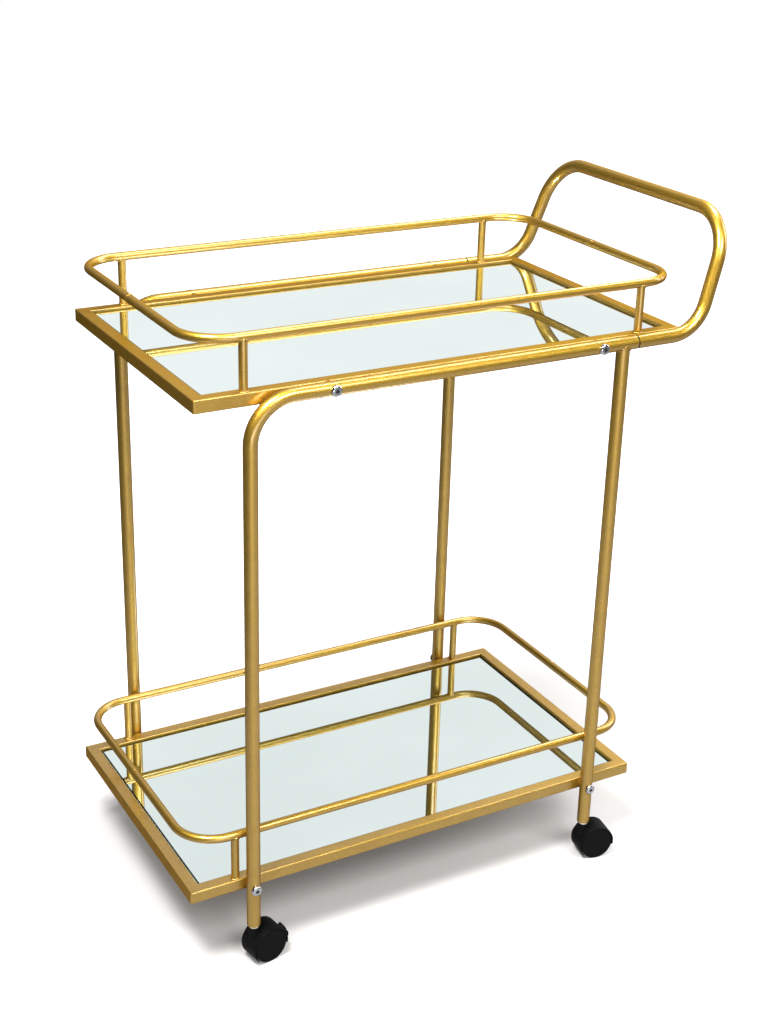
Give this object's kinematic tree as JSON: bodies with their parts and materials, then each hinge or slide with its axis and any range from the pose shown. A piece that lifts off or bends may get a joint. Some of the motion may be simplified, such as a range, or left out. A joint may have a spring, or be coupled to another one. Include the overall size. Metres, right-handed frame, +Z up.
{
  "type": "display trolley",
  "caption": "Two-tier trolley of bent gold tube with mirrored trays inside guard rails, a raised push handle and swivelling twin-wheel casters with foot brakes.",
  "frame": {"origin": "on the floor, under the middle of the trolley's box", "axes": "+Z up, +X towards the push handle, +Y to the right of the person who holds the handle"},
  "size_m": [0.6992, 0.4168, 0.8355],
  "materials": {
    "gold_paint": "satin metallic gold paint on welded steel tube",
    "mirror_glass": "silvered float glass",
    "hardboard": "plain brown hardboard",
    "clear_pad": "clear silicone",
    "bright_screw": "bright nickel plate",
    "bare_steel": "zinc-plated steel",
    "cream_plastic": "natural nylon",
    "black_plastic": "satin moulded black",
    "black_wheel": "moulded black nylon"
  },
  "bodies": {
    "trolley_frame": {"upper_tray_left_tube": "gold_paint", "upper_tray_right_tube": "gold_paint", "upper_tray_front_tube": "gold_paint", "upper_tray_rear_tube": "gold_paint", "upper_rail_left_half": "gold_paint", "upper_rail_right_half": "gold_paint", "upper_rail_posts": "gold_paint", "upper_support_tabs": "gold_paint", "upper_spacers": "gold_paint", "upper_mirror": "mirror_glass", "upper_backing_board": "hardboard", "upper_board_pads": "clear_pad", "upper_screws": "bright_screw", "upper_thread_bushes": "bare_steel", "lower_tray_left_tube": "gold_paint", "lower_tray_right_tube": "gold_paint", "lower_tray_front_tube": "gold_paint", "lower_tray_rear_tube": "gold_paint", "lower_rail_left_half": "gold_paint", "lower_rail_right_half": "gold_paint", "lower_rail_posts": "gold_paint", "lower_support_tabs": "gold_paint", "lower_spacers": "gold_paint", "lower_mirror": "mirror_glass", "lower_backing_board": "hardboard", "lower_board_pads": "clear_pad", "lower_screws": "bright_screw", "lower_thread_bushes": "bare_steel", "left_side_tube": "gold_paint", "left_rear_leg": "gold_paint", "right_side_tube": "gold_paint", "right_rear_leg": "gold_paint", "push_handle": "gold_paint", "leg_sockets": "cream_plastic", "front_left_caster_stem": "bare_steel", "front_right_caster_stem": "bare_steel", "rear_left_caster_stem": "bare_steel", "rear_right_caster_stem": "bare_steel"},
    "front_left_caster": {"front_left_caster_housing": "black_plastic", "front_left_caster_axle": "bare_steel", "front_left_caster_brake_pin": "bare_steel"},
    "front_left_caster_left_wheel": {"front_left_caster_left_wheel": "black_wheel"},
    "front_left_caster_right_wheel": {"front_left_caster_right_wheel": "black_wheel"},
    "front_left_caster_brake_lever": {"front_left_caster_brake_lever": "black_plastic"},
    "front_right_caster": {"front_right_caster_housing": "black_plastic", "front_right_caster_axle": "bare_steel", "front_right_caster_brake_pin": "bare_steel"},
    "front_right_caster_left_wheel": {"front_right_caster_left_wheel": "black_wheel"},
    "front_right_caster_right_wheel": {"front_right_caster_right_wheel": "black_wheel"},
    "front_right_caster_brake_lever": {"front_right_caster_brake_lever": "black_plastic"},
    "rear_left_caster": {"rear_left_caster_housing": "black_plastic", "rear_left_caster_axle": "bare_steel"},
    "rear_left_caster_left_wheel": {"rear_left_caster_left_wheel": "black_wheel"},
    "rear_left_caster_right_wheel": {"rear_left_caster_right_wheel": "black_wheel"},
    "rear_right_caster": {"rear_right_caster_housing": "black_plastic", "rear_right_caster_axle": "bare_steel"},
    "rear_right_caster_left_wheel": {"rear_right_caster_left_wheel": "black_wheel"},
    "rear_right_caster_right_wheel": {"rear_right_caster_right_wheel": "black_wheel"}
  },
  "joints": [
    {"name": "front_left_swivel", "type": "hinge", "parent": "trolley_frame", "child": "front_left_caster", "pos_m": [-0.27465, -0.1875, 0], "axis": [0, 0, 1], "continuous": true},
    {"name": "front_left_left_wheel_spin", "type": "hinge", "parent": "front_left_caster", "child": "front_left_caster_left_wheel", "pos_m": [-0.25939, -0.18481, 0.02125], "axis": [-0.1736, 0.9848, 0], "continuous": true},
    {"name": "front_left_right_wheel_spin", "type": "hinge", "parent": "front_left_caster", "child": "front_left_caster_right_wheel", "pos_m": [-0.25939, -0.18481, 0.02125], "axis": [-0.1736, 0.9848, 0], "continuous": true},
    {"name": "front_left_brake", "type": "hinge", "parent": "front_left_caster", "child": "front_left_caster_brake_lever", "pos_m": [-0.24167, -0.18169, 0.02188], "axis": [-0.1736, 0.9848, 0], "range_deg": [0, 12]},
    {"name": "front_right_swivel", "type": "hinge", "parent": "trolley_frame", "child": "front_right_caster", "pos_m": [-0.27465, 0.1875, 0], "axis": [0, 0, 1], "continuous": true},
    {"name": "front_right_left_wheel_spin", "type": "hinge", "parent": "front_right_caster", "child": "front_right_caster_left_wheel", "pos_m": [-0.25939, 0.18481, 0.02125], "axis": [0.1736, 0.9848, 0], "continuous": true},
    {"name": "front_right_right_wheel_spin", "type": "hinge", "parent": "front_right_caster", "child": "front_right_caster_right_wheel", "pos_m": [-0.25939, 0.18481, 0.02125], "axis": [0.1736, 0.9848, 0], "continuous": true},
    {"name": "front_right_brake", "type": "hinge", "parent": "front_right_caster", "child": "front_right_caster_brake_lever", "pos_m": [-0.24167, 0.18169, 0.02188], "axis": [0.1736, 0.9848, 0], "range_deg": [0, 12]},
    {"name": "rear_left_swivel", "type": "hinge", "parent": "trolley_frame", "child": "rear_left_caster", "pos_m": [0.19235, -0.1875, 0], "axis": [0, 0, 1], "continuous": true},
    {"name": "rear_left_left_wheel_spin", "type": "hinge", "parent": "rear_left_caster", "child": "rear_left_caster_left_wheel", "pos_m": [0.20761, -0.19019, 0.02125], "axis": [0.1736, 0.9848, 0], "continuous": true},
    {"name": "rear_left_right_wheel_spin", "type": "hinge", "parent": "rear_left_caster", "child": "rear_left_caster_right_wheel", "pos_m": [0.20761, -0.19019, 0.02125], "axis": [0.1736, 0.9848, 0], "continuous": true},
    {"name": "rear_right_swivel", "type": "hinge", "parent": "trolley_frame", "child": "rear_right_caster", "pos_m": [0.19235, 0.1875, 0], "axis": [0, 0, 1], "continuous": true},
    {"name": "rear_right_left_wheel_spin", "type": "hinge", "parent": "rear_right_caster", "child": "rear_right_caster_left_wheel", "pos_m": [0.20761, 0.19019, 0.02125], "axis": [-0.1736, 0.9848, 0], "continuous": true},
    {"name": "rear_right_right_wheel_spin", "type": "hinge", "parent": "rear_right_caster", "child": "rear_right_caster_right_wheel", "pos_m": [0.20761, 0.19019, 0.02125], "axis": [-0.1736, 0.9848, 0], "continuous": true}
  ]
}
